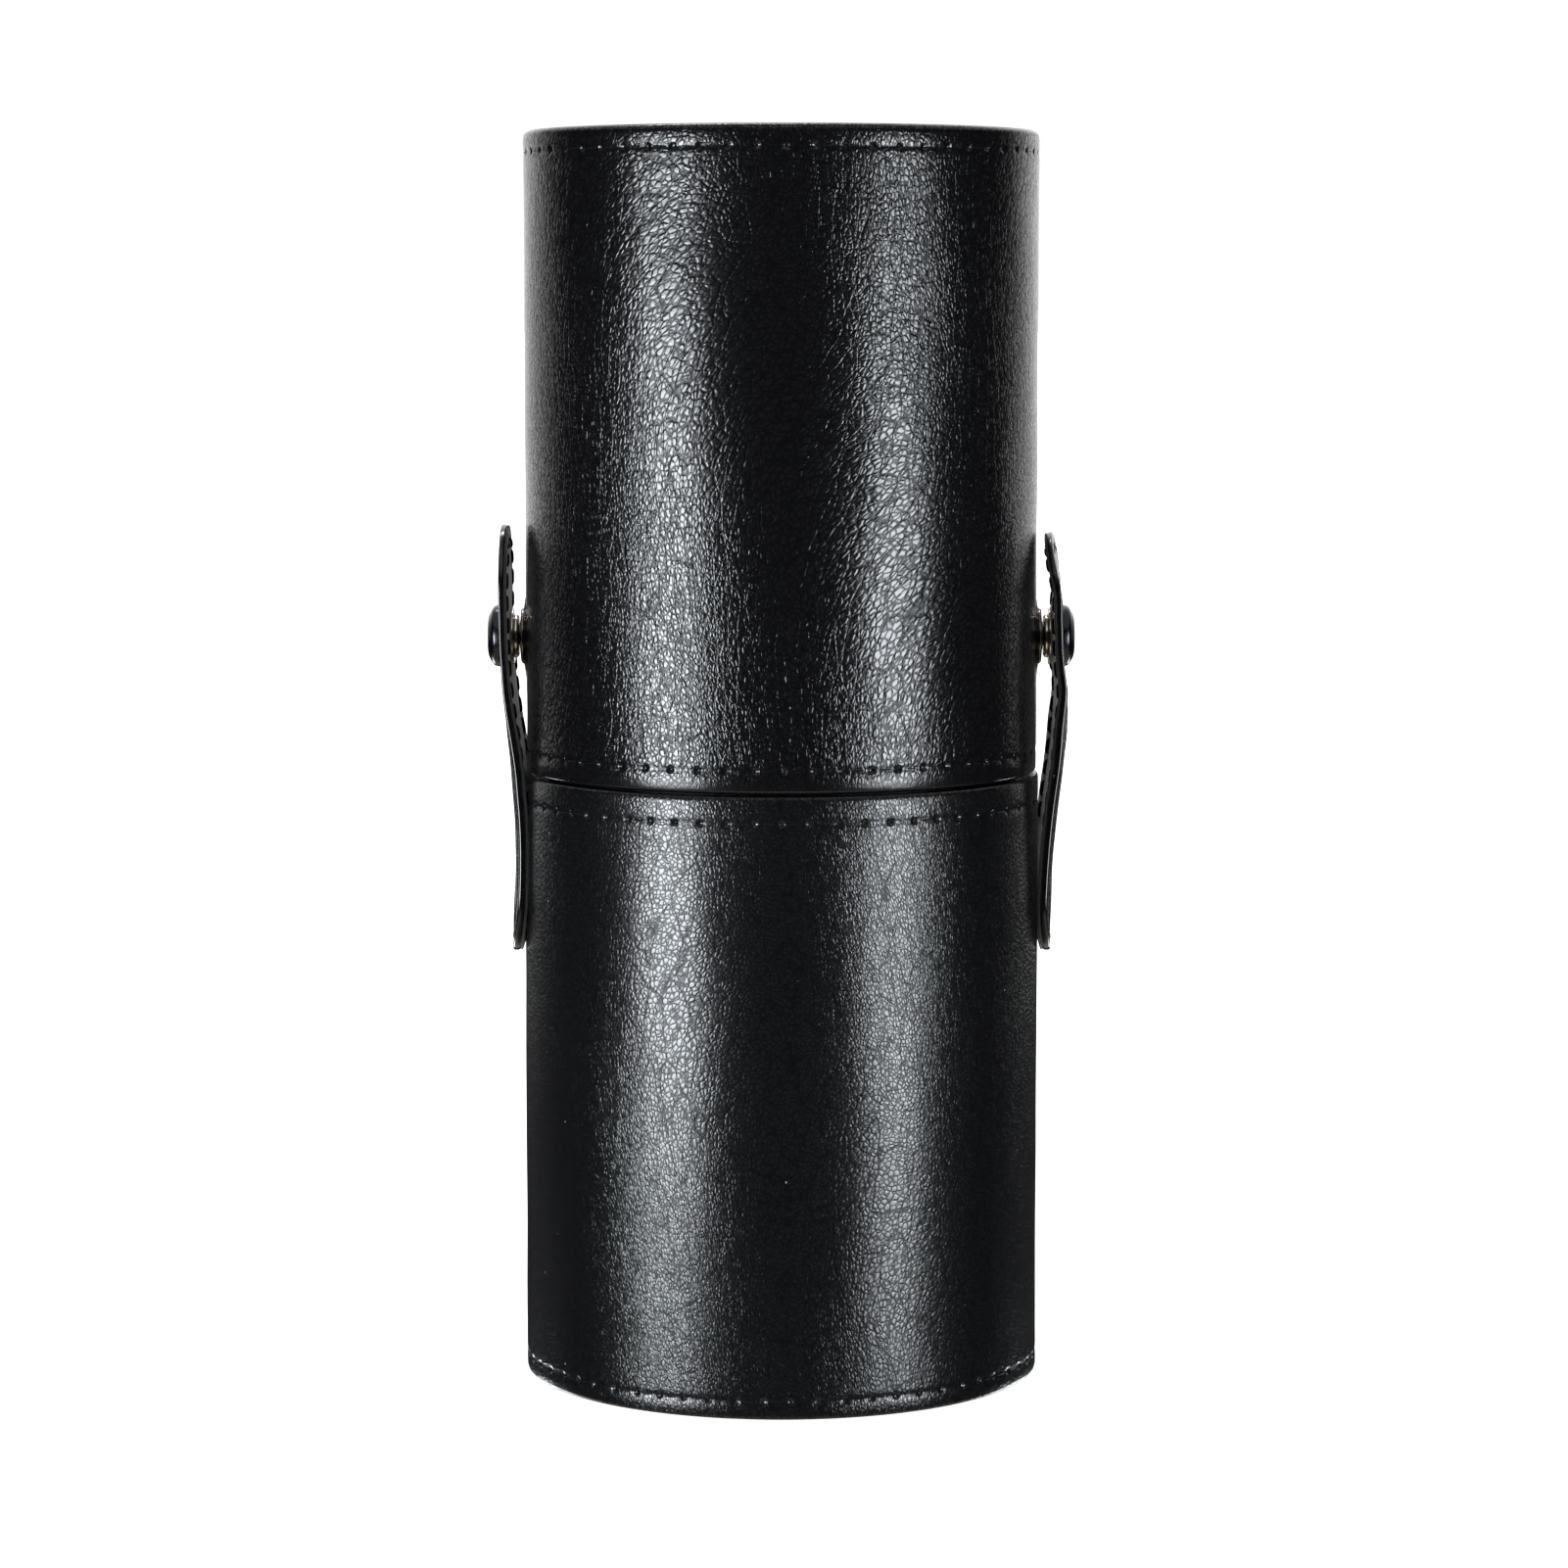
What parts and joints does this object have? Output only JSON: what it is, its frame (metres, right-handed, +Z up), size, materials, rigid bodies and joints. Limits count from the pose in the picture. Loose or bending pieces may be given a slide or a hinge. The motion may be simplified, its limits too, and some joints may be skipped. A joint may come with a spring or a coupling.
{
  "type": "two-part leather dice cup",
  "caption": "Tall cylindrical leather cup case: a base cup, a lid cup that slides over its inner collar, and snap-fastened straps that hold them together.",
  "frame": {"origin": "centre of the underside, on the surface the cup stands on", "axes": "+Z up along the cup's axis, +X towards the right strap, -Y towards the front"},
  "size_m": [0.1052, 0.0924, 0.2215],
  "materials": {
    "lid_leather": "glossy black, creased grain",
    "base_leather": "semi-gloss black, fine pebble grain",
    "strap_leather": "semi-gloss black, painted edges",
    "strap_backing": "light grey brushed cloth backing",
    "board": "wound grey board",
    "lining": "black flocked cloth",
    "thread": "black bonded thread",
    "cap_metal": "polished black nickel plate",
    "snap_metal": "polished nickel plate",
    "spring_metal": "drawn spring wire"
  },
  "bodies": {
    "base": {"base_wrap": "base_leather", "base_board": "board", "base_bottom_leather": "base_leather", "base_bottom_board": "board", "collar": "board", "base_lining": "lining", "base_floor_pad": "lining", "base_rim_thread": "thread", "base_foot_thread": "thread", "right_strap_root": "strap_leather", "right_root_thread": "thread", "left_strap_root": "strap_leather", "left_root_thread": "thread"},
    "lid": {"lid_wrap": "lid_leather", "lid_board": "board", "lid_top_leather": "lid_leather", "lid_top_board": "board", "lid_lining": "lining", "lid_top_pad": "lining", "lid_crown_thread": "thread", "lid_rim_thread": "thread", "right_snap_stud": "snap_metal", "right_stud_rivet": "snap_metal", "left_snap_stud": "snap_metal", "left_stud_rivet": "snap_metal"},
    "left_strap": {"left_flap_leather": "strap_leather", "left_flap_backing": "strap_backing", "left_flap_needle_thread": "thread", "left_flap_bobbin_thread": "thread", "left_snap_cap": "cap_metal", "left_snap_socket": "snap_metal", "left_snap_spring": "spring_metal"},
    "right_strap": {"right_flap_leather": "strap_leather", "right_flap_backing": "strap_backing", "right_flap_needle_thread": "thread", "right_flap_bobbin_thread": "thread", "right_snap_cap": "cap_metal", "right_snap_socket": "snap_metal", "right_snap_spring": "spring_metal"}
  },
  "joints": [
    {"name": "lid_lift", "type": "slide", "parent": "base", "child": "lid", "axis": [0, 0, 1], "range_m": [0, 0.15]},
    {"name": "right_strap_open", "type": "hinge", "parent": "base", "child": "right_strap", "pos_m": [0.04725, 0, 0.095], "axis": [0, 1, 0], "range_deg": [0, 120]},
    {"name": "left_strap_open", "type": "hinge", "parent": "base", "child": "left_strap", "pos_m": [-0.04725, 0, 0.095], "axis": [0, -1, 0], "range_deg": [0, 120]}
  ]
}
